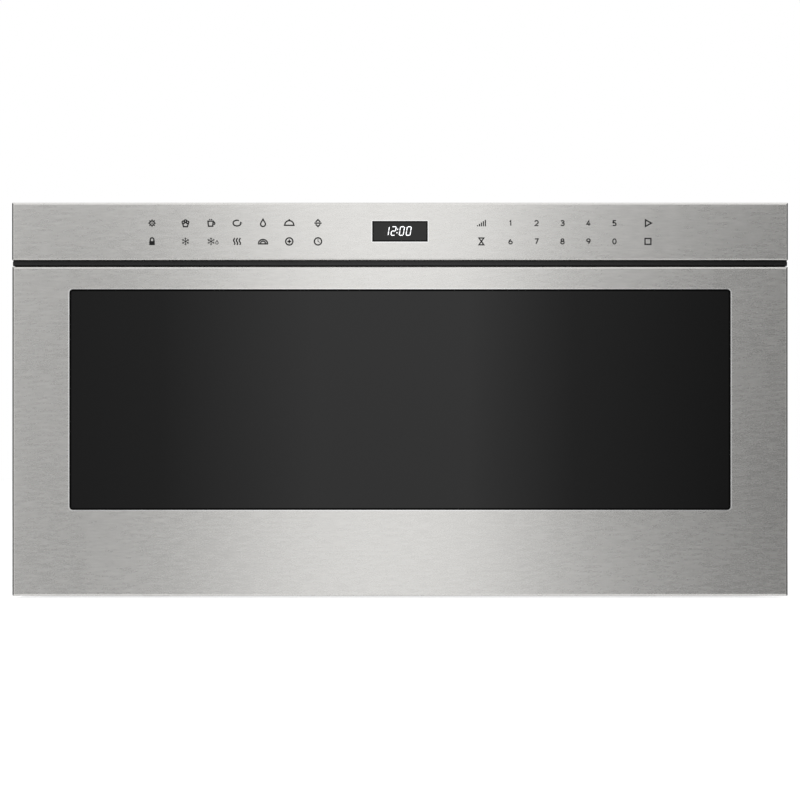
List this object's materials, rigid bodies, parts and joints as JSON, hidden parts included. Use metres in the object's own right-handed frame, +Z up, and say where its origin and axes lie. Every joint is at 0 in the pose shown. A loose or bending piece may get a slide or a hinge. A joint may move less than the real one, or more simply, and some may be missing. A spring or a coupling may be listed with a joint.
{
  "type": "microwave drawer",
  "caption": "Built-in microwave oven with a wide stainless front whose glazed drawer slides out on motor-driven racks below a flat control panel with a small display.",
  "frame": {"origin": "centre of the bounding box's bottom face, on the shelf that the base pan stands on", "axes": "+X to the right seen from the room, +Y from the front to the back, +Z up"},
  "size_m": [0.759, 0.6346, 0.3859],
  "materials": {
    "stainless_steel": "horizontally brushed stainless steel",
    "window_glass": "dark tinted float glass",
    "display_lens": "dark tinted display lens",
    "black_moulding": "fine grained black moulding",
    "frame_steel": "grey painted sheet steel",
    "galvanised_steel": "zinc coated sheet steel",
    "cavity_enamel": "grey enamelled steel",
    "tub_plastic": "grey heat resistant moulding",
    "floor_ceramic": "dark ceramic glass plate",
    "inner_window": "clear inner window",
    "screen_steel": "perforated steel screen, painted dark",
    "slide_steel": "bright zinc plate",
    "bearing_steel": "polished balls in a bright cage",
    "dark_steel": "dark oiled steel",
    "nylon": "natural white moulding",
    "aluminium": "plain aluminium",
    "winding": "varnished copper and laminations",
    "mica": "pressed mica sheet",
    "circuit_board": "green circuit board"
  },
  "bodies": {
    "cabinet": {"control_panel": "stainless_steel", "control_housing": "black_moulding", "display_lens": "display_lens", "control_board": "circuit_board", "vent_trim": "black_moulding", "front_frame": "frame_steel", "base_pan": "galvanised_steel", "cabinet_cover": "galvanised_steel", "back_panel": "galvanised_steel", "cord_gland": "black_moulding", "oven_cavity": "cavity_enamel", "waveguide": "galvanised_steel", "stirrer_cover": "mica", "stirrer_motor": "dark_steel", "magnetron": "aluminium", "transformer": "winding", "hv_capacitor": "aluminium", "fan_shroud": "galvanised_steel", "fan_motor": "dark_steel", "oven_lamp": "galvanised_steel", "power_board": "circuit_board", "interlock_switch_left": "black_moulding", "interlock_switch_right": "black_moulding", "drive_motor": "dark_steel", "shaft_bearing_left": "black_moulding", "shaft_bearing_right": "black_moulding", "slide_bracket_left": "galvanised_steel", "slide_bracket_right": "galvanised_steel", "slide_outer_left": "slide_steel", "slide_outer_right": "slide_steel"},
    "drive_shaft": {"drive_shaft": "dark_steel", "drive_gear": "nylon", "pinion_left": "nylon", "pinion_right": "nylon"},
    "motor_pinion": {"motor_pinion": "dark_steel"},
    "fan": {"fan_blade": "black_moulding"},
    "stirrer": {"stirrer": "aluminium"},
    "drawer": {"drawer_front": "stainless_steel", "window_glass": "window_glass", "door_frame": "black_moulding", "window_screen": "screen_steel", "inner_window": "inner_window", "choke_plate": "frame_steel", "choke_cover": "black_moulding", "drawer_tub": "tub_plastic", "floor_glass": "floor_ceramic", "drawer_arm_left": "galvanised_steel", "drawer_arm_right": "galvanised_steel", "rack_left": "nylon", "rack_right": "nylon", "slide_inner_left": "slide_steel", "slide_inner_right": "slide_steel", "latch_hook_left": "nylon", "latch_hook_right": "nylon"},
    "slide_middle_left": {"slide_middle_left": "slide_steel"},
    "slide_middle_right": {"slide_middle_right": "slide_steel"},
    "ball_cage_outer_left": {"ball_cage_outer_left": "bearing_steel"},
    "ball_cage_outer_right": {"ball_cage_outer_right": "bearing_steel"},
    "ball_cage_inner_left": {"ball_cage_inner_left": "bearing_steel"},
    "ball_cage_inner_right": {"ball_cage_inner_right": "bearing_steel"}
  },
  "joints": [
    {"name": "drawer_slide", "type": "slide", "parent": "cabinet", "child": "drawer", "axis": [0, -1, 0], "range_m": [0, 0.381]},
    {"name": "drive_shaft_spin", "type": "hinge", "parent": "cabinet", "child": "drive_shaft", "pos_m": [0, -0.24575, 0.0262], "axis": [1, 0, 0], "range_deg": [0, 1365]},
    {"name": "motor_pinion_spin", "type": "hinge", "parent": "cabinet", "child": "motor_pinion", "pos_m": [0, -0.22175, 0.0262], "axis": [1, 0, 0], "range_deg": [-3315, 0]},
    {"name": "slide_middle_left_slide", "type": "slide", "parent": "cabinet", "child": "slide_middle_left", "axis": [0, -1, 0], "range_m": [0, 0.1905]},
    {"name": "ball_cage_outer_left_slide", "type": "slide", "parent": "cabinet", "child": "ball_cage_outer_left", "axis": [0, -1, 0], "range_m": [0, 0.09525]},
    {"name": "ball_cage_inner_left_slide", "type": "slide", "parent": "cabinet", "child": "ball_cage_inner_left", "axis": [0, -1, 0], "range_m": [0, 0.28575]},
    {"name": "slide_middle_right_slide", "type": "slide", "parent": "cabinet", "child": "slide_middle_right", "axis": [0, -1, 0], "range_m": [0, 0.1905]},
    {"name": "ball_cage_outer_right_slide", "type": "slide", "parent": "cabinet", "child": "ball_cage_outer_right", "axis": [0, -1, 0], "range_m": [0, 0.09525]},
    {"name": "ball_cage_inner_right_slide", "type": "slide", "parent": "cabinet", "child": "ball_cage_inner_right", "axis": [0, -1, 0], "range_m": [0, 0.28575]},
    {"name": "fan_spin", "type": "hinge", "parent": "cabinet", "child": "fan", "pos_m": [-0.088, 0.24085, 0.2442], "axis": [1, 0, 0], "continuous": true},
    {"name": "stirrer_spin", "type": "hinge", "parent": "cabinet", "child": "stirrer", "pos_m": [0, -0.08675, 0.3], "axis": [0, 0, 1], "continuous": true}
  ],
  "couplings": [
    {"joint": "drive_shaft_spin", "follows": "drawer_slide", "rad_per_m": 62.5},
    {"joint": "motor_pinion_spin", "follows": "drawer_slide", "rad_per_m": -151.79},
    {"joint": "slide_middle_left_slide", "follows": "drawer_slide", "ratio": 0.5},
    {"joint": "ball_cage_outer_left_slide", "follows": "drawer_slide", "ratio": 0.25},
    {"joint": "ball_cage_inner_left_slide", "follows": "drawer_slide", "ratio": 0.75},
    {"joint": "slide_middle_right_slide", "follows": "drawer_slide", "ratio": 0.5},
    {"joint": "ball_cage_outer_right_slide", "follows": "drawer_slide", "ratio": 0.25},
    {"joint": "ball_cage_inner_right_slide", "follows": "drawer_slide", "ratio": 0.75}
  ]
}
